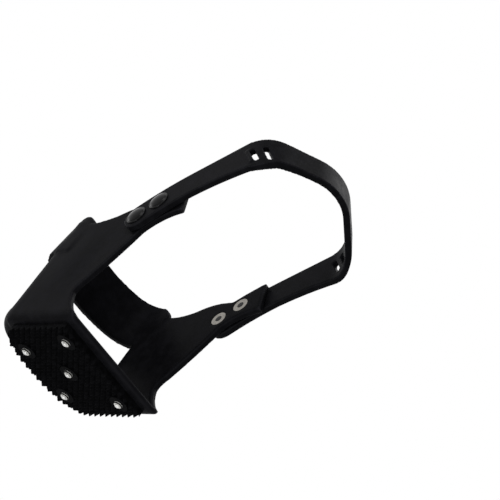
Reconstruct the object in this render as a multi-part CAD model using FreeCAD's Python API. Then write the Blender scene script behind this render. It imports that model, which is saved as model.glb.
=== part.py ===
import FreeCAD
import Part
import math
import os

# Slip-on heel ice spur. All sizes are in millimetres.
# The origin is the middle of the heel seat, the top face of the sole plate.
# +X points to the toe, +Y to the left and +Z up. The press-stud side is the right, -Y.

# Tread pad, seen from below as a heel-shaped D
pad_front = 27.8
pad_rear = 34.4
pad_half_width = 33.3
pad_corner_radius = 16.0
pad_rear_radius = 70.0
pad_base = 2.6
pyramid_height = 1.8
pyramid_spacing = 3.37
pyramid_flat = 0.5
pyramid_turn = 45.0
groove_run_out = 0.5
boss_radius = 5.5
boss_root = 0.2

# Ice studs
stud_toe_inset = 7.5
stud_heel_inset = 14.1
stud_front_inset = 10.1
stud_rear_inset = 16.1
stud_flange_radius = 4.5
stud_flange_thick = 1.0
stud_neck_radius = 2.0
stud_collar_radius = 2.5
stud_collar_length = 1.9
stud_groove_depth = 0.45
stud_groove_width = 0.3
stud_nose_radius = 2.1
stud_nose_length = 0.2
pin_radius = 1.3
pin_length = 2.4
pin_stand_out = 0.7
pin_round = 0.45
collar_sink = 1.0

# Rubber heel cup
sole_thick = 3.6
sole_lip = 5.9
seat_clearance = 1.4
wall_thick = 3.6
wall_overhang = 3.6
fold_radius = 4.6
fold_share = 0.9
rim_step = 1.0
rim_thick = 3.4
rim_height = 6.5
rim_fold_radius = 7.0
rim_overhang = 5.6
rim_overlap = 3.0
panel_rear = 25.0
panel_waist_x = 19.8
panel_waist_z = 15.0
panel_foot_x = 25.0
panel_foot_z = 6.8
panel_knee_x = 22.6
panel_knee_z = 23.0
panel_knee_bulge = 0.9
panel_mid_x = 31.0
panel_mid_z = 41.0
panel_top_rear_z = 69.0
panel_top_dip_x = 4.0
panel_top_dip_z = 67.3
panel_top_rise_x = 9.0
panel_top_rise_z = 71.0
panel_shoulder_x = 21.0
panel_shoulder_z = 76.0

# Rear band, the pull tab behind the ankle
band_proud = 0.8
band_draft = 1.2
band_lean = 3.2
band_overhang = 5.4
band_thick = 4.5
band_bottom = 45.0
band_top = 72.8
band_front = 12.0
band_round = 6.0
band_shoulder_drop = 0.5
band_shoulder_bulge = 0.3

# Strap, laid out in a plane that tilts up towards the toe by strap_angle
strap_angle = 34.0
strap_level = 39.7
strap_width = 18.0
strap_thick = 3.6
strap_gap = 0.3
strap_bend_at = 97.4
strap_bend_radius = 145.0
strap_end_margin = 7.8
strap_corner_at = 142.9
strap_corner_radius = 20.0
strap_crest_at = 166.2
strap_crest_radius = 30.0
hinge_at = 128.4
hinge_gap = 0.3
belly_depth = 6.4
belly_at = 137.5
belly_round = 9.0
belly_end = 152.5
belly_shoulder_share = 0.85
belly_flare_share = 0.27
belly_return_share = 0.3
slots_per_side = 2
slot_length = 12.0
slot_width = 2.8
slot_drop = 4.3
slot_tilt = 17.0
slot_first_turn = 13.0
slot_pitch_turn = 21.0
rib_width = 1.8
rib_height = 0.5
rib_offset = 5.0
rib_length = 13.0
rib_root = 1.0

# Tongues, the arms of the side walls that carry the strap
button_back = 34.7
button_pitch = 14.1
tongue_upper = 7.7
tongue_waist = 8.2
tongue_middle = 8.8
tongue_drop = 13.5
tongue_end_low = 8.8
tongue_end_high = 4.7
tongue_root_high = 25.0
tongue_root_low = 36.0

# Press studs and rivets
cap_radius = 5.9
cap_height = 2.1
cap_edge = 0.6
eyelet_radius = 1.6
socket_radius = 4.6
socket_wall = 0.6
socket_depth = 2.0
socket_room = 0.2
nub_radius = 1.9
nub_height = 0.9
nub_base_radius = 3.2
nub_base_thick = 0.4
post_flange_radius = 4.5
post_flange_thick = 0.8
post_radius = 1.2
rivet_radius = 2.0

# Places that follow from the sizes above
far = 200.0
touch = 0.01
sole_front = pad_front + sole_lip
pad_top = -sole_thick
pad_root = pad_top - pad_base
pad_bottom = pad_root - pyramid_height
collar_bottom = pad_bottom + collar_sink - stud_collar_length
wall_inner = seat_clearance
wall_outer = seat_clearance + wall_thick
wall_face = pad_half_width + wall_outer
wall_inner_face = pad_half_width + wall_inner
strap_inner_face = wall_face + strap_gap
strap_outer_face = strap_inner_face + strap_thick
half_strap = strap_width / 2.0
button_places = [button_back, button_back - button_pitch]
stud_rear_x = stud_heel_inset - pad_rear
stud_front_x = pad_front - stud_toe_inset
stud_rear_y = pad_half_width - stud_rear_inset
stud_front_y = pad_half_width - stud_front_inset
stud_places = {
    "rear_right": (stud_rear_x, -stud_rear_y),
    "rear_left": (stud_rear_x, stud_rear_y),
    "centre": (0.0, 0.0),
    "front_right": (stud_front_x, -stud_front_y),
    "front_left": (stud_front_x, stud_front_y),
}


def vec(x, y, z):
    return FreeCAD.Vector(x, y, z)


def line(a, b):
    return Part.LineSegment(a, b).toShape()


def arc(a, b, c):
    return Part.Arc(a, b, c).toShape()


def extrude(edges, travel):
    return Part.Face(Part.Wire(edges)).extrude(travel)


def save(name, shape):
    shape = shape.removeSplitter()
    shape.exportStep("parts/" + name + ".step")
    print(name, "solids", len(shape.Solids), "valid", shape.isValid(), "volume", round(shape.Volume, 1))


# Heel plan: straight sides, two round rear corners and a flatter rear arc, all tangent.
# grow moves the whole line outwards, and shift moves the rear backwards.
def heel_plan(grow, front, level, shift=0.0):
    half = pad_half_width + grow
    rear_centre = pad_rear_radius - pad_rear - shift
    corner_y = pad_half_width - pad_corner_radius
    reach = pad_rear_radius - pad_corner_radius
    corner_x = rear_centre - math.sqrt(reach ** 2 - corner_y ** 2)
    turn = math.atan2(corner_y, rear_centre - corner_x)
    middle = (math.pi / 2.0 + turn) / 2.0
    corner_radius = pad_corner_radius + grow
    rear_radius = pad_rear_radius + grow

    def corner(angle, side):
        x = corner_x - corner_radius * math.cos(angle)
        y = corner_y + corner_radius * math.sin(angle)
        return vec(x, side * y, level)

    rear = vec(rear_centre - rear_radius, 0.0, level)
    return [
        line(vec(front, -half, level), vec(front, half, level)),
        line(vec(front, half, level), vec(corner_x, half, level)),
        arc(vec(corner_x, half, level), corner(middle, 1.0), corner(turn, 1.0)),
        arc(corner(turn, 1.0), rear, corner(turn, -1.0)),
        arc(corner(turn, -1.0), corner(middle, -1.0), vec(corner_x, -half, level)),
        line(vec(corner_x, -half, level), vec(front, -half, level)),
    ]


def heel_block(grow, front, low, high, shift=0.0):
    return extrude(heel_plan(grow, front, low, shift), vec(0.0, 0.0, high - low))


# The lower outer edge of the cup is folded round, not sharp; the front edge stays square.
def folded_block(grow, front, low, high, shift, fold):
    block = heel_block(grow, front, low, high, shift)
    radius = min(fold, fold_share * (high - low))
    edges = []
    for edge in block.Edges:
        box = edge.BoundBox
        if box.ZMax < low + touch and box.XMin < front - touch:
            edges.append(edge)
    return block.makeFillet(radius, edges)


# The strap's own plane: along it towards the toe, across from side to side, and up square to it.
def strap_frame(shape):
    shape.rotate(vec(0.0, 0.0, 0.0), vec(0.0, 1.0, 0.0), -strap_angle)
    return shape


def in_side_view(point):
    angle = math.radians(strap_angle)
    x = point.x * math.cos(angle) - point.z * math.sin(angle)
    z = point.x * math.sin(angle) + point.z * math.cos(angle)
    return vec(x, point.y, z)


# A point of the strap's centre line, back along it from where its bend starts, and offset
# upwards from that line.
def strap_point(back, offset, y=0.0):
    turn = back / strap_bend_radius
    radius = strap_bend_radius + offset
    x = strap_bend_at - radius * math.sin(turn)
    z = strap_level - strap_bend_radius + radius * math.cos(turn)
    return vec(x, y, z)


def button_axis(back):
    return in_side_view(strap_point(back, 0.0))


def disc(back, side, start, end, radius):
    centre = button_axis(back)
    travel = vec(0.0, side * (end - start), 0.0)
    base = vec(centre.x, side * start, centre.z)
    return Part.makeCylinder(radius, abs(end - start), base, travel)


def turned(points):
    edges = []
    for i in range(len(points)):
        edges.append(line(points[i], points[(i + 1) % len(points)]))
    face = Part.Face(Part.Wire(edges))
    return face.revolve(vec(0.0, 0.0, 0.0), vec(0.0, 0.0, 1.0), 360.0)


# Stud body: a wide flange held above the pad, a neck through it and a grooved steel nose.
def stud_shape():
    flange_low = pad_top - stud_flange_thick
    collar_high = collar_bottom + stud_collar_length
    groove_high = collar_bottom + stud_groove_width
    nose_low = collar_bottom - stud_nose_length
    groove_radius = stud_collar_radius - stud_groove_depth
    return turned([
        vec(0.0, 0.0, pad_top),
        vec(stud_flange_radius, 0.0, pad_top),
        vec(stud_flange_radius, 0.0, flange_low),
        vec(stud_neck_radius, 0.0, flange_low),
        vec(stud_neck_radius, 0.0, collar_high),
        vec(stud_collar_radius, 0.0, collar_high),
        vec(stud_collar_radius, 0.0, groove_high),
        vec(groove_radius, 0.0, groove_high),
        vec(groove_radius, 0.0, collar_bottom),
        vec(stud_nose_radius, 0.0, collar_bottom),
        vec(stud_nose_radius, 0.0, nose_low),
        vec(0.0, 0.0, nose_low),
    ])


def pin_shape():
    low = collar_bottom - stud_nose_length - pin_stand_out
    pin = Part.makeCylinder(pin_radius, pin_length, vec(0.0, 0.0, low))
    rim = [edge for edge in pin.Edges if edge.BoundBox.ZMax < low + touch]
    return pin.makeFillet(pin_round, rim)


def stud_body():
    return stud_shape().cut(pin_shape())


def at_stud(shape, place):
    moved = shape.copy()
    moved.translate(vec(place[0], place[1], 0.0))
    return moved


# Crossing V grooves at 45 degrees leave rows of square rubber pyramids.
def groove_set(direction):
    half_mouth = (pyramid_spacing - pyramid_flat) / 2.0
    below = pad_bottom - groove_run_out
    spread = half_mouth * (pyramid_height + groove_run_out) / pyramid_height
    span = pad_rear + pad_front + 2.0 * pad_half_width
    count = int(span / (2.0 * pyramid_spacing)) + 1
    grooves = []
    for i in range(-count, count):
        centre = (i + 0.5) * pyramid_spacing
        root = vec(-span, centre, pad_root)
        edges = [
            line(root, vec(-span, centre + spread, below)),
            line(vec(-span, centre + spread, below), vec(-span, centre - spread, below)),
            line(vec(-span, centre - spread, below), root),
        ]
        grooves.append(extrude(edges, vec(2.0 * span, 0.0, 0.0)))
    tool = Part.makeCompound(grooves)
    tool.rotate(vec(0.0, 0.0, 0.0), vec(0.0, 0.0, 1.0), direction)
    return tool


def tread_pad():
    pad = heel_block(0.0, pad_front, pad_bottom, pad_top)
    for direction in (pyramid_turn, -pyramid_turn):
        pad = pad.cut(groove_set(direction))
    for place in stud_places.values():
        foot = vec(place[0], place[1], pad_bottom)
        boss = Part.makeCylinder(boss_radius, pyramid_height + boss_root, foot)
        pad = pad.fuse(boss)
    for place in stud_places.values():
        pad = pad.cut(at_stud(stud_shape(), place))
    return pad


# Side view of a wall: foot, narrow waist, front edge up to the tongue, and the top edge.
def panel_outline(y):
    foot = vec(sole_front, y, 0.0)
    waist = vec(panel_waist_x, y, panel_waist_z)
    knee = vec(panel_knee_x, y, panel_knee_z)
    half_way = vec((panel_waist_x + panel_knee_x) / 2.0 - panel_knee_bulge, y,
                   (panel_waist_z + panel_knee_z) / 2.0)
    neck = in_side_view(strap_point(tongue_root_low, -tongue_waist, y))
    nape = in_side_view(strap_point(tongue_root_high, tongue_upper, y))
    rise = vec(panel_top_rise_x, y, panel_top_rise_z)
    rear_top = vec(-panel_rear, y, panel_top_rear_z)
    return [
        line(vec(-panel_rear, y, pad_top), vec(sole_front, y, pad_top)),
        line(vec(sole_front, y, pad_top), foot),
        arc(foot, vec(panel_foot_x, y, panel_foot_z), waist),
        arc(waist, half_way, knee),
        arc(knee, vec(panel_mid_x, y, panel_mid_z), neck),
        line(neck, nape),
        arc(nape, vec(panel_shoulder_x, y, panel_shoulder_z), rise),
        arc(rise, vec(-panel_top_dip_x, y, panel_top_dip_z), rear_top),
        line(rear_top, vec(-panel_rear, y, pad_top)),
    ]


def tongue_outline(y):
    end_low = strap_point(tongue_end_low, -tongue_drop, y)
    middle = strap_point((tongue_end_low + tongue_root_low) / 2.0, -tongue_middle, y)
    root_low = strap_point(tongue_root_low, -tongue_waist, y)
    root_high = strap_point(tongue_root_high, tongue_upper, y)
    crown = strap_point((tongue_root_high + tongue_end_high) / 2.0, tongue_upper, y)
    end_high = strap_point(tongue_end_high, tongue_upper, y)
    return [
        arc(end_low, middle, root_low),
        line(root_low, root_high),
        arc(root_high, crown, end_high),
        line(end_high, end_low),
    ]


def side_walls():
    reach = in_side_view(strap_point(0.0, -tongue_drop)).x + strap_width
    high = in_side_view(strap_point(0.0, tongue_upper)).z + strap_width
    block = folded_block(wall_outer, reach, pad_top, high, wall_overhang, fold_radius)
    panel = extrude(panel_outline(-far), vec(0.0, 2.0 * far, 0.0))
    tongue = strap_frame(extrude(tongue_outline(-far), vec(0.0, 2.0 * far, 0.0)))
    return block.common(panel.fuse(tongue))


# Low rim round the back of the heel, set in a little behind the side walls.
def rear_rim():
    grow = wall_outer - rim_step
    rim = folded_block(grow, sole_front, pad_top, rim_height, rim_overhang, rim_fold_radius)
    rim = rim.cut(heel_block(grow - rim_thick, far, 0.0, far, rim_overhang))
    return rim.cut(Part.makeBox(far, 2.0 * far, far, vec(rim_overlap - panel_rear, -far, -far / 2.0)))


# The band is drawn in and leans forwards towards its top edge, as the ankle does.
def band_block(inset, front):
    grow = wall_outer + band_proud - inset
    low = Part.Wire(heel_plan(grow, front, band_bottom, band_overhang))
    high = Part.Wire(heel_plan(grow - band_draft, front, band_top, band_overhang - band_lean))
    return Part.makeLoft([low, high], True, True)


def rear_band():
    ring = band_block(0.0, 0.0).cut(band_block(band_thick, 1.0))
    shoulder = panel_top_rear_z - band_shoulder_drop
    top = vec(-band_front - band_round, -far, band_top)
    side = vec(-band_front, -far, max(shoulder, band_top - band_round))
    diagonal = band_round * (1.0 - math.sqrt(0.5))
    bulge = vec(-band_front - diagonal, -far, band_top - diagonal)
    if shoulder > band_top - band_round:
        middle_x = (top.x + side.x) / 2.0
        middle_z = (top.z + side.z) / 2.0
        bulge = vec(middle_x + band_shoulder_bulge, -far, middle_z + band_shoulder_bulge)
    edges = [
        line(vec(-far, -far, band_bottom), vec(-band_front, -far, band_bottom)),
        line(vec(-band_front, -far, band_bottom), side),
        arc(side, bulge, top),
        line(top, vec(-far, -far, band_top)),
        line(vec(-far, -far, band_top), vec(-far, -far, band_bottom)),
    ]
    return ring.common(extrude(edges, vec(0.0, 2.0 * far, 0.0)))


def heel_cup():
    walls = side_walls().cut(heel_block(wall_inner, far, 0.0, far, wall_overhang))
    cup = walls.fuse(rear_rim()).fuse(rear_band())
    for back in button_places:
        cup = cup.cut(post_shape(back))
        cup = cup.cut(disc(back, 1.0, wall_inner_face, wall_face, rivet_radius))
        cup = cup.cut(disc(back, 1.0, wall_inner_face, burr_face(), post_flange_radius))
    return cup


# Side view of the strap beyond its bend: level above, with a belly below round the slots.
def belly_solid():
    top = strap_level + half_strap
    base = strap_level - half_strap
    deep = base - belly_depth
    shoulder = base - belly_shoulder_share * belly_depth
    start = vec(strap_bend_at, -far, base)
    rear = vec(belly_at - belly_round / 2.0, -far, shoulder)
    front = vec(belly_at + belly_round / 2.0, -far, shoulder)
    end = vec(belly_end, -far, base)
    flare = vec((start.x + rear.x) / 2.0, -far, base - belly_flare_share * belly_depth)
    return_curve = vec((front.x + end.x) / 2.0, -far, base - belly_return_share * belly_depth)
    edges = [
        arc(start, flare, rear),
        arc(rear, vec(belly_at, -far, deep), front),
        arc(front, return_curve, end),
        line(end, vec(far, -far, base)),
        line(vec(far, -far, base), vec(far, -far, top)),
        line(vec(far, -far, top), vec(strap_bend_at, -far, top)),
        line(vec(strap_bend_at, -far, top), start),
    ]
    return extrude(edges, vec(0.0, 2.0 * far, 0.0))


# Side part of the strap: a flat arm with a round end, bent a little to follow the tongue.
def strap_arm(side):
    y = side * strap_inner_face
    travel = vec(0.0, side * strap_thick, 0.0)
    last = button_back + strap_end_margin - half_strap
    tip = strap_point(last, 0.0, y)
    turn = last / strap_bend_radius
    round_end = vec(tip.x - half_strap * math.cos(turn), y, tip.z - half_strap * math.sin(turn))
    upper = strap_point(last, half_strap, y)
    lower = strap_point(last, -half_strap, y)
    upper_straight = vec(strap_bend_at, y, strap_level + half_strap)
    lower_straight = vec(strap_bend_at, y, strap_level - half_strap)
    bent = extrude([
        arc(upper, strap_point(last / 2.0, half_strap, y), upper_straight),
        line(upper_straight, lower_straight),
        arc(lower_straight, strap_point(last / 2.0, -half_strap, y), lower),
        arc(lower, round_end, upper),
    ], travel)
    straight_length = hinge_at - hinge_gap / 2.0 - strap_bend_at
    low_y = min(y, y + travel.y)
    straight = Part.makeBox(straight_length, strap_thick, far, vec(strap_bend_at, low_y, 0.0))
    return strap_frame(bent.fuse(straight.common(belly_solid())))


def strap_end_right():
    arm = strap_arm(-1.0)
    pocket_end = strap_inner_face + socket_depth
    for back in button_places:
        arm = arm.cut(disc(back, -1.0, strap_inner_face, pocket_end, socket_radius + socket_room))
        arm = arm.cut(disc(back, -1.0, pocket_end, strap_outer_face, eyelet_radius))
    return arm


def strap_end_left():
    arm = strap_arm(1.0)
    for back in button_places:
        arm = arm.cut(disc(back, 1.0, strap_inner_face, strap_outer_face, rivet_radius))
    return arm


# The rounded path of the strap over the instep: corner, crest and corner, seen square to
# the strap's plane. inset moves it in from the outer face.
class StrapPath:
    def __init__(self, inset):
        rise = strap_crest_at - strap_corner_at
        slope = math.atan2(strap_outer_face, rise)
        self.start_y = strap_outer_face - inset
        self.corner_x = strap_corner_at - inset * math.tan(slope / 2.0)
        self.crest_x = strap_crest_at - inset / math.sin(slope)
        self.slope = slope
        self.corner_radius = strap_corner_radius - inset
        self.crest_radius = strap_crest_radius - inset
        self.corner_cut = self.corner_radius * math.tan(slope / 2.0)
        self.crest_cut = self.crest_radius * math.tan(math.pi / 2.0 - slope)
        self.centre = (self.corner_x - self.corner_cut, self.start_y - self.corner_radius)

    def corner_point(self, turn, side, z):
        x = self.centre[0] + self.corner_radius * math.sin(turn)
        y = self.centre[1] + self.corner_radius * math.cos(turn)
        return vec(x, side * y, z)

    def crest_point(self, side, z):
        x = self.crest_x - self.crest_cut * math.cos(self.slope)
        y = self.crest_cut * math.sin(self.slope)
        return vec(x, side * y, z)

    def crest_top(self, z):
        away = self.crest_radius / math.sin(self.slope) - self.crest_radius
        return vec(self.crest_x - away, 0.0, z)

    def edges(self, start_x, z):
        before = vec(start_x, -self.start_y, z)
        after = vec(start_x, self.start_y, z)
        near = [self.corner_point(self.slope * share, -1.0, z) for share in (0.0, 0.5, 1.0)]
        away = [self.corner_point(self.slope * share, 1.0, z) for share in (1.0, 0.5, 0.0)]
        return [
            line(before, near[0]),
            arc(near[0], near[1], near[2]),
            line(near[2], self.crest_point(-1.0, z)),
            arc(self.crest_point(-1.0, z), self.crest_top(z), self.crest_point(1.0, z)),
            line(self.crest_point(1.0, z), away[0]),
            arc(away[0], away[1], away[2]),
            line(away[2], after),
        ]


def mirrored(shape, side):
    if side < 0.0:
        return shape.mirror(vec(0.0, 0.0, 0.0), vec(0.0, 1.0, 0.0))
    return shape


# Slots and ribs lie across the strap, leaning forwards at their lower ends.
def lean_across(shape):
    middle = vec(0.0, 0.0, strap_level - slot_drop)
    shape.rotate(middle, vec(0.0, 1.0, 0.0), -slot_tilt)
    return shape


def strap_slot(path, turn, side):
    half = slot_width / 2.0
    straight = slot_length - slot_width
    depth = 4.0 * strap_thick
    y = path.corner_radius - depth / 2.0
    low = strap_level - slot_drop - straight / 2.0
    slot = Part.makeBox(slot_width, depth, straight, vec(-half, y, low))
    for z in (low, low + straight):
        slot = slot.fuse(Part.makeCylinder(half, depth, vec(0.0, y, z), vec(0.0, 1.0, 0.0)))
    slot = lean_across(slot)
    slot.rotate(vec(0.0, 0.0, 0.0), vec(0.0, 0.0, 1.0), -math.degrees(turn))
    slot.translate(vec(path.centre[0], path.centre[1], 0.0))
    return mirrored(slot, side)


def strap_rib(path, side):
    low = strap_level - slot_drop - rib_length / 2.0
    corner = vec(-rib_width / 2.0, -rib_root, low)
    rib = Part.makeBox(rib_width, rib_height + rib_root, rib_length, corner)
    rib = lean_across(rib)
    rib.translate(vec(hinge_at + rib_offset, path.start_y, 0.0))
    return mirrored(rib, side)


def strap_middle():
    outer = StrapPath(0.0)
    inner = StrapPath(strap_thick)
    start = hinge_at + hinge_gap / 2.0
    edges = outer.edges(start, 0.0)
    edges.append(line(vec(start, outer.start_y, 0.0), vec(start, inner.start_y, 0.0)))
    edges.extend(inner.edges(start, 0.0))
    edges.append(line(vec(start, -inner.start_y, 0.0), vec(start, -outer.start_y, 0.0)))
    band = extrude(Part.__sortEdges__(edges), vec(0.0, 0.0, far))
    strap = band.common(belly_solid())
    for side in (-1.0, 1.0):
        strap = strap.fuse(strap_rib(outer, side))
        for i in range(slots_per_side):
            turn = math.radians(slot_first_turn + i * slot_pitch_turn)
            strap = strap.cut(strap_slot(outer, turn, side))
    return strap_frame(strap)


# Domed cap over a button hole, with its eyelet through the strap.
def cap_shape(back, side, eyelet_end, radius):
    crown = cap_height - cap_edge
    ball = (cap_radius ** 2 + crown ** 2) / (2.0 * crown)
    centre = button_axis(back)
    middle = vec(centre.x, side * (strap_outer_face + cap_height - ball), centre.z)
    dome = Part.makeSphere(ball, middle)
    dome = dome.common(disc(back, side, strap_outer_face, strap_outer_face + 2.0 * cap_height, cap_radius))
    return dome.fuse(disc(back, side, eyelet_end, strap_outer_face, radius))


def socket_floor():
    return strap_inner_face + socket_depth - socket_wall


def socket_shape(back):
    outer = disc(back, -1.0, strap_inner_face, strap_inner_face + socket_depth, socket_radius)
    outer = outer.cut(disc(back, -1.0, strap_inner_face, socket_floor(), socket_radius - socket_wall))
    return outer.cut(disc(back, -1.0, socket_floor(), strap_outer_face, eyelet_radius))


def nub_shape(back):
    base = wall_face + nub_base_thick
    nub = disc(back, -1.0, wall_face, base, nub_base_radius)
    nub = nub.fuse(disc(back, -1.0, base, base + nub_height, nub_radius))
    return nub.cut(disc(back, -1.0, wall_face, base + nub_height / 2.0, post_radius))


def post_shape(back):
    flange_end = wall_inner_face + post_flange_thick
    post = disc(back, -1.0, wall_inner_face, flange_end, post_flange_radius)
    return post.fuse(disc(back, -1.0, flange_end, wall_face + nub_base_thick + nub_height / 2.0, post_radius))


def burr_face():
    return wall_inner_face + post_flange_thick


def burr_shape(back):
    burr = disc(back, 1.0, wall_inner_face, burr_face(), post_flange_radius)
    return burr.cut(disc(back, 1.0, wall_inner_face, burr_face(), rivet_radius))


def save_fasteners():
    for back, name in zip(button_places, ("rear", "front")):
        save("snap_cap_" + name, cap_shape(back, -1.0, socket_floor(), eyelet_radius))
        save("snap_socket_" + name, socket_shape(back))
        save("snap_stud_" + name, nub_shape(back))
        save("snap_post_" + name, post_shape(back))
        save("rivet_" + name, cap_shape(back, 1.0, wall_inner_face, rivet_radius))
        save("rivet_washer_" + name, burr_shape(back))


os.makedirs("parts", exist_ok=True)
save("heel_cup", heel_cup())
save("tread_pad", tread_pad())
for place_name, place in stud_places.items():
    save("ice_stud_" + place_name, at_stud(stud_body(), place))
    save("carbide_pin_" + place_name, at_stud(pin_shape(), place))
save("strap_middle", strap_middle())
save("strap_end_right", strap_end_right())
save("strap_end_left", strap_end_left())
save_fasteners()
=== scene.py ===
import math

import bmesh
import bpy
from mathutils import Matrix, Vector


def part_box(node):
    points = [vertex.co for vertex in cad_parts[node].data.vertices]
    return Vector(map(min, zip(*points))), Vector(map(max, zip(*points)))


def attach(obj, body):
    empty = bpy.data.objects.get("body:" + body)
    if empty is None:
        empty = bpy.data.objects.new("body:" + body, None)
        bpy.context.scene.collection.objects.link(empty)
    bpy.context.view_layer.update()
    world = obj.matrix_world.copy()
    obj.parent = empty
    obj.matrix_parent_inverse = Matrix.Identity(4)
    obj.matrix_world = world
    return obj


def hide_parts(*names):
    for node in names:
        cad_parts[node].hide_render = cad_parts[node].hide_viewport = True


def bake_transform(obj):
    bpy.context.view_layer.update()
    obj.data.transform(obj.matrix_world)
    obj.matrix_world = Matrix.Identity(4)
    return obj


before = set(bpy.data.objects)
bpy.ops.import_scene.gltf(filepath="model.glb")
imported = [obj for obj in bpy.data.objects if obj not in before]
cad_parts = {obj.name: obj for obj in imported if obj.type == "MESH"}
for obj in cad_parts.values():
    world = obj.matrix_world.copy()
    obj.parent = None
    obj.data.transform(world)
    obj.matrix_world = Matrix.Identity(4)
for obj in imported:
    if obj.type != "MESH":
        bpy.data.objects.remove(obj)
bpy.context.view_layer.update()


# Heel cup: one thick moulding of black natural rubber, with the sole plate, both side walls,
# the rim and the rear band in one piece. It is pressed in a fine-blasted steel mould, so every
# edge is round and the walls belly out a little. It stays on by its own stretch.
MM = 0.001
CUP_VOXEL = 0.75
CUP_SMOOTHING = 6
WALL_START = 33.0
WALL_BULGE = 0.7
WALL_MIDDLE = (-3.0, 37.0)
WALL_HALF = (21.0, 32.0)
BAND_START = 36.6
BAND_STEP = (-12.0, 57.0)
BAND_STEP_HALF = (12.0, 22.0)
BAND_STEP_SMOOTHING = 40
RUBBER_BLACK = "#0f0f11"
RUBBER_GREY = "#18181b"
# Paler colour on convex edges: partly rubbed rubber, partly a painted highlight.
RUBBED_AND_HIGHLIT_EDGE = "#38383d"
RUBBED_AND_HIGHLIT_SHARE = 0.7
EDGE_WEAR_AND_HIGHLIGHT = (0.52, 0.62)
CUP_ROUGHNESS = 0.37
CUP_SHEEN = 0.007
CUP_MARK = 6.0
MARK_FADE = (0.42, 0.8)
MARK_DEPTH = 0.25
DULL_FADE = (0.3, 0.75)
DULLING = (-0.07, 0.12)
RUBBER_GRAIN = 0.35
RUBBER_GRAIN_DEPTH = 0.04


# A colour is written as the eye sees it on a screen, and the shaders take it as light.
def linear(hex_colour):
    channels = [int(hex_colour[i:i + 2], 16) / 255.0 for i in (1, 3, 5)]
    return [c / 12.92 if c <= 0.04045 else ((c + 0.055) / 1.055) ** 2.4 for c in channels] + [1.0]


# One node with its settings, values and links. A colour mix takes its share at input 0 and
# its two colours at 6 and 7, and gives the mixed colour at output 2.
def add(tree, kind, inputs=None, **settings):
    made = tree.nodes.new(kind)
    for name, value in settings.items():
        setattr(made, name, value)
    for name, value in (inputs or {}).items():
        if isinstance(value, bpy.types.NodeSocket):
            tree.links.new(value, made.inputs[name])
        else:
            made.inputs[name].default_value = value
    return made


# An empty material, and the place of each point on the piece, which its patterns follow.
def new_material(name):
    material = bpy.data.materials.new(name)
    material.use_nodes = True
    tree = material.node_tree
    tree.nodes.clear()
    place = add(tree, "ShaderNodeTexCoord").outputs["Object"]
    return material, tree, place


# Moulded rubber: close to black and satin, with a fine even grain from the blasted mould, dull
# marks some millimetres wide from handling, and paler convex edges, partly rubbed and partly a
# painted highlight. The real grain is about 0.1 mm wide and is drawn three to five times as wide,
# so that it shows. The sheen is far below that of a smooth skin, which would mirror the white
# surround and look grey.
def moulded_rubber(name, dark, light, rough, sheen, mark, grain, grain_depth, rubbed_and_highlit_share):
    material, tree, place = new_material(name)
    marks = add(tree, "ShaderNodeTexNoise", {
        "Vector": place, "Scale": 1.0 / (mark * MM), "Detail": 6.0, "Roughness": 0.62})
    spread = add(tree, "ShaderNodeMapRange", {
        "Value": marks.outputs["Fac"], "From Min": MARK_FADE[0], "From Max": MARK_FADE[1]})
    marked = add(tree, "ShaderNodeMix", {
        0: spread.outputs["Result"], 6: linear(dark), 7: linear(light)}, data_type="RGBA")
    bend = add(tree, "ShaderNodeNewGeometry")
    # Convex edges are painted paler: partly rubbed rubber, partly a painted highlight.
    edge = add(tree, "ShaderNodeMapRange", {
        "Value": bend.outputs["Pointiness"], "From Min": EDGE_WEAR_AND_HIGHLIGHT[0], "From Max": EDGE_WEAR_AND_HIGHLIGHT[1],
        "To Max": rubbed_and_highlit_share})
    rubbed_and_highlit_colour = add(tree, "ShaderNodeMix", {
        0: edge.outputs["Result"], 6: marked.outputs[2], 7: linear(RUBBED_AND_HIGHLIT_EDGE)}, data_type="RGBA")
    dull = add(tree, "ShaderNodeMapRange", {
        "Value": marks.outputs["Fac"], "From Min": DULL_FADE[0], "From Max": DULL_FADE[1],
        "To Min": rough + DULLING[0], "To Max": rough + DULLING[1]})
    skin = add(tree, "ShaderNodeTexNoise", {
        "Vector": place, "Scale": 1.0 / (grain * MM), "Detail": 3.0, "Roughness": 0.5})
    fine = add(tree, "ShaderNodeBump", {
        "Height": skin.outputs["Fac"], "Strength": 0.35, "Distance": grain_depth * MM})
    soft = add(tree, "ShaderNodeBump", {
        "Height": marks.outputs["Fac"], "Strength": 0.25, "Distance": MARK_DEPTH * MM,
        "Normal": fine.outputs["Normal"]})
    shader = add(tree, "ShaderNodeBsdfPrincipled", {
        "Base Color": rubbed_and_highlit_colour.outputs[2], "Roughness": dull.outputs["Result"], "IOR": 1.5,
        "Specular IOR Level": sheen, "Normal": soft.outputs["Normal"]})
    add(tree, "ShaderNodeOutputMaterial", {"Surface": shader.outputs["BSDF"]})
    return material


def dressed(piece, material):
    piece.data.materials.clear()
    piece.data.materials.append(material)
    return piece


def new_piece(name, mesh, material):
    piece = bpy.data.objects.new(name, mesh)
    bpy.context.scene.collection.objects.link(piece)
    return dressed(piece, material)


def applied(piece):
    graph = bpy.context.evaluated_depsgraph_get()
    mesh = bpy.data.meshes.new_from_object(piece.evaluated_get(graph))
    piece.modifiers.clear()
    piece.data = mesh
    return piece


# The piece as one closed skin with round edges, as a rubber moulding has.
def moulded(piece, voxel, smoothing):
    remesh = piece.modifiers.new("moulded", "REMESH")
    remesh.mode = "VOXEL"
    remesh.voxel_size = voxel * MM
    remesh.use_smooth_shade = True
    rounding = piece.modifiers.new("rounded", "SMOOTH")
    rounding.factor = 0.5
    rounding.iterations = smoothing
    return applied(piece)


# 1 at the middle of a stretch, falling smoothly to 0 at its ends.
def belly(value, middle, half):
    share = (value - middle) / half
    return max(0.0, 1.0 - share * share) ** 2


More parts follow.
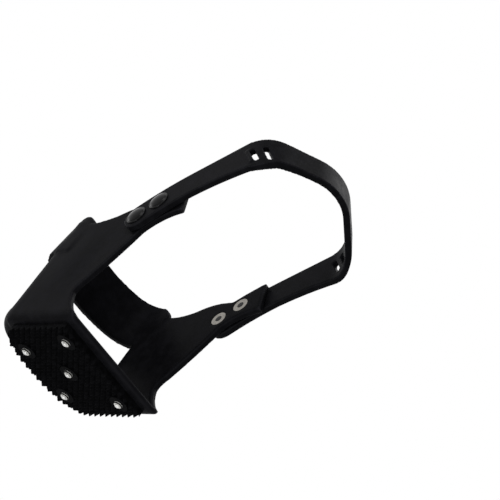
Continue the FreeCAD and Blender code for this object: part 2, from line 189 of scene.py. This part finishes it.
cup_rubber = moulded_rubber(
    "natural_rubber_moulded_satin", RUBBER_BLACK, RUBBER_GREY, CUP_ROUGHNESS, CUP_SHEEN,
    CUP_MARK, RUBBER_GRAIN, RUBBER_GRAIN_DEPTH, RUBBED_AND_HIGHLIT_SHARE)
cup = new_piece("heel_cup_moulding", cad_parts["heel_cup"].data.copy(), cup_rubber)
cup = dressed(moulded(cup, CUP_VOXEL, CUP_SMOOTHING), cup_rubber)
# The rear band flows into each wall: the step between them is smoothed out more than the rest.
band_step = cup.vertex_groups.new(name="band_step")
for vertex in cup.data.vertices:
    x, y, z = vertex.co / MM
    if abs(y) > BAND_START:
        near = belly(x, BAND_STEP[0], BAND_STEP_HALF[0]) * belly(z, BAND_STEP[1], BAND_STEP_HALF[1])
        band_step.add([vertex.index], near, "REPLACE")
    if abs(y) > WALL_START:
        out = WALL_BULGE * belly(x, WALL_MIDDLE[0], WALL_HALF[0]) * belly(z, WALL_MIDDLE[1], WALL_HALF[1])
        vertex.co.y += math.copysign(out * MM, y)
step = cup.modifiers.new("band_step", "SMOOTH")
step.vertex_group = "band_step"
step.iterations = BAND_STEP_SMOOTHING
cup = dressed(applied(cup), cup_rubber)
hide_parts("heel_cup")
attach(cup, "root")


# Tread pad: a block of harder rubber under the sole plate, moulded with rows of square
# pyramids that bite on ice and a round boss for each stud. It is bonded on.
TREAD_BLACK = "#09090a"
TREAD_SCUFFED = "#161618"
TREAD_ROUGHNESS = 0.5
TREAD_SHEEN = 0.004
TREAD_MARK = 3.0
TREAD_GRAIN = 0.5
TREAD_GRAIN_DEPTH = 0.05
TREAD_RUBBED_AND_HIGHLIT_SHARE = 0.0

# Its rubber is matt and the darkest of all, so that only the pyramids' facets part it into
# light and dark, with small paler marks where grit has scuffed it.
tread_rubber = moulded_rubber(
    "tread_rubber_moulded_matt", TREAD_BLACK, TREAD_SCUFFED, TREAD_ROUGHNESS, TREAD_SHEEN,
    TREAD_MARK, TREAD_GRAIN, TREAD_GRAIN_DEPTH, TREAD_RUBBED_AND_HIGHLIT_SHARE)
dressed(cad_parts["tread_pad"], tread_rubber)


# Ice studs: steel bodies turned from bar, whose wide flanges are held above the pad. A pin of
# sintered carbide is pressed into each nose. The edges are broken a little, so each nose
# shows a bright ring round a bright tip.
REAR_STUDS = (-20.3, 17.2)
FRONT_STUDS = (20.3, 23.2)
STUD_PLACES = {
    "rear_right": (REAR_STUDS[0], -REAR_STUDS[1]), "rear_left": REAR_STUDS, "centre": (0.0, 0.0),
    "front_right": (FRONT_STUDS[0], -FRONT_STUDS[1]), "front_left": FRONT_STUDS,
}
FLANGE_RADIUS, FLANGE_TOP, FLANGE_UNDERSIDE = 4.5, -3.6, -4.6
NECK_RADIUS = 2.0
COLLAR_RADIUS, COLLAR_TOP, COLLAR_END = 2.5, -7.0, -8.6
GROOVE_RADIUS = 2.05
NOSE_RADIUS, NOSE_TOP, NOSE_END = 2.1, -8.9, -9.1
BORE_RADIUS, BORE_TOP, PIN_TIP = 1.3, -7.4, -9.8
STUD_PROFILE = [
    (0.0, FLANGE_TOP), (FLANGE_RADIUS, FLANGE_TOP), (FLANGE_RADIUS, FLANGE_UNDERSIDE),
    (NECK_RADIUS, FLANGE_UNDERSIDE), (NECK_RADIUS, COLLAR_TOP), (COLLAR_RADIUS, COLLAR_TOP),
    (COLLAR_RADIUS, COLLAR_END), (GROOVE_RADIUS, COLLAR_END), (GROOVE_RADIUS, NOSE_TOP),
    (NOSE_RADIUS, NOSE_TOP), (NOSE_RADIUS, NOSE_END), (BORE_RADIUS, NOSE_END),
    (BORE_RADIUS, BORE_TOP), (0.0, BORE_TOP),
]
PIN_PROFILE = [(0.0, BORE_TOP), (BORE_RADIUS, BORE_TOP), (BORE_RADIUS, PIN_TIP), (0.0, PIN_TIP)]
STUD_EDGE = 0.12
PIN_EDGE = 0.45
CORNER_SHARE = 0.45
CORNER_STEPS = 4
TURNED_SIDES = 64
STEEL_GREY = "#d2d2ce"
STEEL_ROUGHNESS = 0.52
TURNING_MARK = 0.15
CARBIDE_GREY = "#e4e4e2"
CARBIDE_ROUGHNESS = 0.2
GRINDING_MARK = 0.1
# Painted shade: a dark band round the groove behind each stud's nose, its middle and half height.
GROOVE_PAINTED_SHADE = "#1c1a18"
SHADE_BAND_MIDDLE, SHADE_BAND_HALF = -8.72, 0.28
TARNISH = 2.5
TARNISH_SHADE = 0.72
TARNISH_FADE = (0.35, 0.65)
SMEARING = (-0.08, 0.12)
TOOL_MARK_DEPTH = 0.01


# Each corner of a turned profile becomes a small curve, which takes less than half of a side.
def rounded(profile, radius):
    points = [Vector(profile[0])]
    for before, here, after in zip(profile, profile[1:], profile[2:]):
        a, b, c = Vector(before), Vector(here), Vector(after)
        cut = min(radius, CORNER_SHARE * (a - b).length, CORNER_SHARE * (c - b).length)
        start, end = b + (a - b).normalized() * cut, b + (c - b).normalized() * cut
        for i in range(CORNER_STEPS + 1):
            t = i / CORNER_STEPS
            points.append((1 - t) ** 2 * start + 2 * t * (1 - t) * b + t * t * end)
    points.append(Vector(profile[-1]))
    return points


# A profile of radii and heights, turned round an axis. A ring on the axis is a single point,
# so the corners that meet there are counted once.
def turned(name, profile, place, axis):
    turn = Vector((0, 0, 1)).rotation_difference(Vector(axis)).to_matrix()
    mesh = bmesh.new()
    rings = []
    for radius, height in profile:
        count = TURNED_SIDES if radius else 1
        angles = [2.0 * math.pi * i / TURNED_SIDES for i in range(count)]
        spots = [Vector((radius * math.cos(a), radius * math.sin(a), height)) for a in angles]
        rings.append([mesh.verts.new((turn @ spot + Vector(place)) * MM) for spot in spots])
    for low, high in zip(rings, rings[1:]):
        for i in range(TURNED_SIDES):
            j = i + 1
            corners = [low[i % len(low)], low[j % len(low)], high[j % len(high)], high[i % len(high)]]
            mesh.faces.new(list(dict.fromkeys(corners)))
    bmesh.ops.recalc_face_normals(mesh, faces=mesh.faces)
    for face in mesh.faces:
        face.smooth = True
    data = bpy.data.meshes.new(name)
    mesh.to_mesh(data)
    mesh.free()
    return data


# Worked metal: bright, clouded by faint tarnish some millimetres wide that also dulls it, with
# fine tool marks in its shine. The real marks are a few hundredths of a millimetre apart and
# are drawn several times as wide, so that they show.
def worked_metal(name, colour, rough, tarnish_width, tool_mark, painted_groove_shade=False):
    material, tree, place = new_material(name)
    clouds = add(tree, "ShaderNodeTexNoise", {
        "Vector": place, "Scale": 1.0 / (tarnish_width * MM), "Detail": 5.0})
    tarnish = add(tree, "ShaderNodeMapRange", {
        "Value": clouds.outputs["Fac"], "From Min": TARNISH_FADE[0], "From Max": TARNISH_FADE[1]})
    clean = linear(colour)
    tarnished = [TARNISH_SHADE * channel for channel in clean[:3]] + [1.0]
    tint = add(tree, "ShaderNodeMix", {
        0: tarnish.outputs["Result"], 6: tarnished, 7: clean}, data_type="RGBA")
    # A band round the groove is painted dark, as painted shade in the recess behind the nose.
    if painted_groove_shade:
        height = add(tree, "ShaderNodeSeparateXYZ", {"Vector": place})
        groove_shade_band = add(tree, "ShaderNodeMath", {
            0: height.outputs["Z"], 1: SHADE_BAND_MIDDLE * MM, 2: SHADE_BAND_HALF * MM}, operation="COMPARE")
        tint = add(tree, "ShaderNodeMix", {
            0: groove_shade_band.outputs[0], 6: tint.outputs[2], 7: linear(GROOVE_PAINTED_SHADE)}, data_type="RGBA")
    gloss = add(tree, "ShaderNodeMapRange", {
        "Value": clouds.outputs["Fac"], "To Min": rough + SMEARING[0], "To Max": rough + SMEARING[1]})
    marks = add(tree, "ShaderNodeTexNoise", {
        "Vector": place, "Scale": 1.0 / (tool_mark * MM), "Detail": 2.0})
    bump = add(tree, "ShaderNodeBump", {
        "Height": marks.outputs["Fac"], "Strength": 0.3, "Distance": TOOL_MARK_DEPTH * MM})
    shader = add(tree, "ShaderNodeBsdfPrincipled", {
        "Base Color": tint.outputs[2], "Metallic": 1.0, "Roughness": gloss.outputs["Result"],
        "Normal": bump.outputs["Normal"]})
    add(tree, "ShaderNodeOutputMaterial", {"Surface": shader.outputs["BSDF"]})
    return material


# Turned steel is a soft pale grey. A dark ring of painted shade lies in the groove behind the nose,
# a little taller than the groove itself, so that it shows. Ground carbide is brighter and
# smoother, and catches the light as one small spot.
stud_steel = worked_metal(
    "carbon_steel_turned", STEEL_GREY, STEEL_ROUGHNESS, TARNISH, TURNING_MARK, painted_groove_shade=True)
pin_carbide = worked_metal(
    "tungsten_carbide_ground", CARBIDE_GREY, CARBIDE_ROUGHNESS, TARNISH, GRINDING_MARK)
for spot, (x, y) in STUD_PLACES.items():
    stud_mesh = turned("stud", rounded(STUD_PROFILE, STUD_EDGE), (x, y, 0), (0, 0, 1))
    stud = new_piece("stud_" + spot, stud_mesh, stud_steel)
    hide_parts("ice_stud_" + spot)
    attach(stud, "root")
    pin_mesh = turned("pin", rounded(PIN_PROFILE, PIN_EDGE), (x, y, 0), (0, 0, 1))
    pin = new_piece("pin_" + spot, pin_mesh, pin_carbide)
    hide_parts("carbide_pin_" + spot)
    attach(pin, "root")


# Instep strap: one rubber moulding that closes the loop in front, with pairs of slots so that
# it can be buttoned shorter. Press studs hold its right end, and rivets hold the left one. It
# is the same rubber as the cup, and a little shinier from being pulled on and off.
STRAP_VOXEL = 0.5
STRAP_SMOOTHING = 5
STRAP_WORN = "#19191c"
STRAP_ROUGHNESS = 0.34
STRAP_SHEEN = 0.009
STRAP_MARK = 5.0
STRAP_FACE = 42.2
CUT_TOUCH = 0.0001


def joined(name, nodes):
    mesh = bmesh.new()
    for node in nodes:
        mesh.from_mesh(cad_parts[node].data)
    data = bpy.data.meshes.new(name)
    mesh.to_mesh(data)
    mesh.free()
    return data


# One half of the moulding, cut at the crest and closed there.
def half_of(name, whole, side, material):
    mesh = bmesh.new()
    mesh.from_mesh(whole)
    cut = bmesh.ops.bisect_plane(mesh, geom=mesh.verts[:] + mesh.edges[:] + mesh.faces[:],
                                 dist=CUT_TOUCH * MM, plane_co=(0, 0, 0), plane_no=(0, side, 0),
                                 clear_inner=True)
    rim = [item for item in cut["geom_cut"] if isinstance(item, bmesh.types.BMEdge)]
    bmesh.ops.holes_fill(mesh, edges=rim, sides=0)
    for face in mesh.faces:
        face.smooth = True
    data = bpy.data.meshes.new(name)
    mesh.to_mesh(data)
    mesh.free()
    return new_piece(name, data, material)


strap_rubber = moulded_rubber(
    "strap_rubber_moulded_satin", RUBBER_BLACK, STRAP_WORN, STRAP_ROUGHNESS, STRAP_SHEEN,
    STRAP_MARK, RUBBER_GRAIN, RUBBER_GRAIN_DEPTH, RUBBED_AND_HIGHLIT_SHARE)
strap_mesh = joined("strap", ("strap_end_right", "strap_middle", "strap_end_left"))
strap = moulded(new_piece("strap_whole", strap_mesh, strap_rubber), STRAP_VOXEL, STRAP_SMOOTHING)
right_half = half_of("strap_button_side", strap.data, -1.0, strap_rubber)
left_half = half_of("strap_riveted_side", strap.data, 1.0, strap_rubber)
bpy.data.objects.remove(strap)
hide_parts("strap_end_right", "strap_middle")
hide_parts("strap_end_left")
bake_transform(right_half)
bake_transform(left_half)


# Press stud caps and rivet heads: domes pressed from steel with a rolled edge, and enamelled
# black. Each has a shank that goes through the rubber and is spread in the part behind it.
CAP_RADIUS = 5.9
CAP_HEIGHT = 2.1
CAP_EDGE = 0.6
CAP_DOME = 4.75
CAP_RIM = [(CAP_RADIUS, 0.35), (5.78, 0.66), (5.48, 0.82), (5.18, 0.74), (4.98, 0.84)]
CAP_STEPS = 14
CAP_ROLL = 0.3
CAP_SHANK = (1.6, -2.2)
RIVET_SHANK = (2.0, -7.5)
HEADS = [("snap_cap_", -1.0, "strap_end", CAP_SHANK), ("rivet_", 1.0, "root", RIVET_SHANK)]
ENAMEL_BLACK = "#070708"
ENAMEL_WORN = "#111113"
ENAMEL_ROUGHNESS = (0.12, 0.26)
ENAMEL_SHEEN = 0.1
ENAMEL_SCUFF = 2.5
SCUFF_FADE = (0.5, 0.75)
ORANGE_PEEL = 0.6
ORANGE_PEEL_DEPTH = 0.02


# The rolled edge, then a crown that is part of a ball.
def dome_profile(shank_radius, shank_end):
    crown = CAP_HEIGHT - CAP_EDGE
    ball = (CAP_RADIUS ** 2 + crown ** 2) / (2.0 * crown)
    points = [(0.0, shank_end), (shank_radius, shank_end), (shank_radius, 0.0), (CAP_RADIUS, 0.0)] + CAP_RIM
    for i in range(CAP_STEPS, -1, -1):
        radius = CAP_DOME * i / CAP_STEPS
        points.append((radius, CAP_HEIGHT - ball + math.sqrt(ball ** 2 - radius ** 2)))
    return points


# Stove enamel: glossy black, so that each dome carries one highlight and a thin bright line
# where the edge rolls over. Scuffs some millimetres wide dull it, and its orange peel, 0.6 mm
# from crest to crest, breaks the highlight's edge.
enamel, tree, place = new_material("steel_enamelled_gloss_black")
scuffs = add(tree, "ShaderNodeTexNoise", {
    "Vector": place, "Scale": 1.0 / (ENAMEL_SCUFF * MM), "Detail": 6.0})
wear = add(tree, "ShaderNodeMapRange", {
    "Value": scuffs.outputs["Fac"], "From Min": SCUFF_FADE[0], "From Max": SCUFF_FADE[1]})
tint = add(tree, "ShaderNodeMix", {
    0: wear.outputs["Result"], 6: linear(ENAMEL_BLACK), 7: linear(ENAMEL_WORN)}, data_type="RGBA")
gloss = add(tree, "ShaderNodeMapRange", {
    "Value": scuffs.outputs["Fac"], "To Min": ENAMEL_ROUGHNESS[0], "To Max": ENAMEL_ROUGHNESS[1]})
peel = add(tree, "ShaderNodeTexNoise", {
    "Vector": place, "Scale": 1.0 / (ORANGE_PEEL * MM), "Detail": 1.0})
bump = add(tree, "ShaderNodeBump", {
    "Height": peel.outputs["Fac"], "Strength": 0.2, "Distance": ORANGE_PEEL_DEPTH * MM})
shader = add(tree, "ShaderNodeBsdfPrincipled", {
    "Base Color": tint.outputs[2], "Roughness": gloss.outputs["Result"], "IOR": 1.52,
    "Specular IOR Level": ENAMEL_SHEEN, "Normal": bump.outputs["Normal"]})
add(tree, "ShaderNodeOutputMaterial", {"Surface": shader.outputs["BSDF"]})
for spot in ("rear", "front"):
    for node, side, body, (shank_radius, shank_end) in HEADS:
        low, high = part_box(node + spot)
        middle = (low + high) / (2.0 * MM)
        profile = rounded(dome_profile(shank_radius, shank_end), CAP_ROLL)
        dome_mesh = turned(node + "dome", profile, (middle.x, side * STRAP_FACE, middle.z), (0, side, 0))
        dome = new_piece(node + "dome_" + spot, dome_mesh, enamel)
        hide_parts(node + spot)
        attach(dome, body)


# Sockets, studs, posts and washers: the hidden halves of the press studs and rivets, stamped
# from thin steel strip and spread over the shanks. Their nickel plating has a warm, soft shine
# with faint die marks.
NICKEL = "#8f8b84"
NICKEL_ROUGHNESS = 0.25
NICKEL_TARNISH = 1.5
DIE_MARK = 0.3

plated = worked_metal(
    "steel_stamped_nickel_plated", NICKEL, NICKEL_ROUGHNESS, NICKEL_TARNISH, DIE_MARK)
for kind in ("snap_socket_", "snap_stud_", "snap_post_", "rivet_washer_"):
    for spot in ("rear", "front"):
        dressed(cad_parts[kind + spot], plated)


# Studio: a pale floor under the pin tips, a white surround for the camera and for reflections,
# and plain soft lamps above, beside and below, since the tread faces down.
FLOOR_LEVEL = -9.85
FLOOR_REACH = 3000.0
FLOOR_PALE = "#e9e9e7"
FLOOR_WHITE = "#f2f2f0"
FLOOR_MOTTLE = 40.0
FLOOR_ROUGHNESS = 0.7
SURROUND_LIGHT = 0.45
LAMP_AIM = Vector((0.03, 0.0, 0.05))
# Each lamp's place and width in metres, and its power in watts.
LAMPS = {
    "key": ((0.30, -0.85, 0.55), 0.55, 5.0),
    "fill": ((-0.80, -0.30, 0.00), 0.6, 1.2),
    "top": ((0.10, 0.35, 1.00), 0.7, 4.0),
    "below": ((0.35, -0.35, -0.80), 0.6, 3.0),
}

# Painted board: off-white and matt, with a faint mottle 40 mm wide. It is clear from beneath,
# so that the tread can be seen, and it neither shades the part nor shows in its metal.
painted_board, tree, place = new_material("painted_board_pale")
mottle = add(tree, "ShaderNodeTexNoise", {
    "Vector": place, "Scale": 1.0 / (FLOOR_MOTTLE * MM), "Detail": 4.0})
paint = add(tree, "ShaderNodeMix", {
    0: mottle.outputs["Fac"], 6: linear(FLOOR_PALE), 7: linear(FLOOR_WHITE)}, data_type="RGBA")
board = add(tree, "ShaderNodeBsdfPrincipled", {
    "Base Color": paint.outputs[2], "Roughness": FLOOR_ROUGHNESS})
clear = add(tree, "ShaderNodeBsdfTransparent")
facing = add(tree, "ShaderNodeNewGeometry")
one_sided = add(tree, "ShaderNodeMixShader", {
    0: facing.outputs["Backfacing"], 1: board.outputs["BSDF"], 2: clear.outputs["BSDF"]})
add(tree, "ShaderNodeOutputMaterial", {"Surface": one_sided.outputs["Shader"]})
reach, ground = FLOOR_REACH * MM, FLOOR_LEVEL * MM
floor_corners = [(-reach, -reach, ground), (reach, -reach, ground), (reach, reach, ground),
                 (-reach, reach, ground)]
floor_mesh = bpy.data.meshes.new("floor")
floor_mesh.from_pydata(floor_corners, [], [(0, 1, 2, 3)])
floor = new_piece("floor", floor_mesh, painted_board)
floor.visible_shadow = False
floor.visible_diffuse = False
floor.visible_glossy = False

# The surround is full white to the eye and in reflections, and dimmer where it only lights.
world = bpy.data.worlds.new("studio")
world.use_nodes = True
bpy.context.scene.world = world
tree = world.node_tree
tree.nodes.clear()
rays = add(tree, "ShaderNodeLightPath")
mirrored = add(tree, "ShaderNodeMath", {
    0: rays.outputs["Is Camera Ray"], 1: rays.outputs["Is Glossy Ray"]}, operation="MAXIMUM")
seen = add(tree, "ShaderNodeMath", {
    0: mirrored.outputs[0], 1: rays.outputs["Is Transmission Ray"]}, operation="MAXIMUM")
strength = add(tree, "ShaderNodeMapRange", {
    "Value": seen.outputs[0], "To Min": SURROUND_LIGHT, "To Max": 1.0})
sky = add(tree, "ShaderNodeBackground", {"Color": (1, 1, 1, 1), "Strength": strength.outputs["Result"]})
add(tree, "ShaderNodeOutputWorld", {"Surface": sky.outputs["Background"]})

for name, (place, width, power) in LAMPS.items():
    light = bpy.data.lights.new(name, "AREA")
    light.shape = "DISK"
    light.size = width
    light.energy = power
    lamp = bpy.data.objects.new(name, light)
    lamp.location = place
    lamp.rotation_euler = (LAMP_AIM - Vector(place)).to_track_quat("-Z", "Y").to_euler()
    bpy.context.scene.collection.objects.link(lamp)


# Camera: where the photograph was taken from, low in front of the right side and rolled, so
# that the tread shows. The picture is 500 pixels wide and high, and the point aimed at, just
# under the centre stud, falls on the pixel that is named.
TURN, RISE, ROLL = math.radians(59.27), math.radians(-29.50), math.radians(36.04)
DISTANCE = 1.10
FOCAL_PIXELS = 2110.0
PICTURE = 500.0
AIM = Vector((0.0, 0.0, -0.0099))
AIM_PIXEL = (66.86, 376.47)
SENSOR = 36.0

back = Vector((math.sin(TURN) * math.cos(RISE), -math.cos(TURN) * math.cos(RISE), math.sin(RISE)))
level = Vector((math.cos(TURN), math.sin(TURN), 0.0))
right = math.cos(ROLL) * level + math.sin(ROLL) * back.cross(level)
upward = -math.sin(ROLL) * level + math.cos(ROLL) * back.cross(level)
per_pixel = DISTANCE / FOCAL_PIXELS
across = (AIM_PIXEL[0] - PICTURE / 2.0) * per_pixel
down = (AIM_PIXEL[1] - PICTURE / 2.0) * per_pixel
camera = bpy.data.objects.new("camera", bpy.data.cameras.new("camera"))
camera.data.sensor_width = SENSOR
camera.data.lens = FOCAL_PIXELS * SENSOR / PICTURE
stand = Matrix.Translation(AIM - right * across + upward * down + back * DISTANCE)
camera.matrix_world = stand @ Matrix((right, upward, back)).transposed().to_4x4()
bpy.context.scene.collection.objects.link(camera)
bpy.context.scene.camera = camera
bpy.context.scene.view_settings.view_transform = "Standard"

bpy.context.view_layer.update()
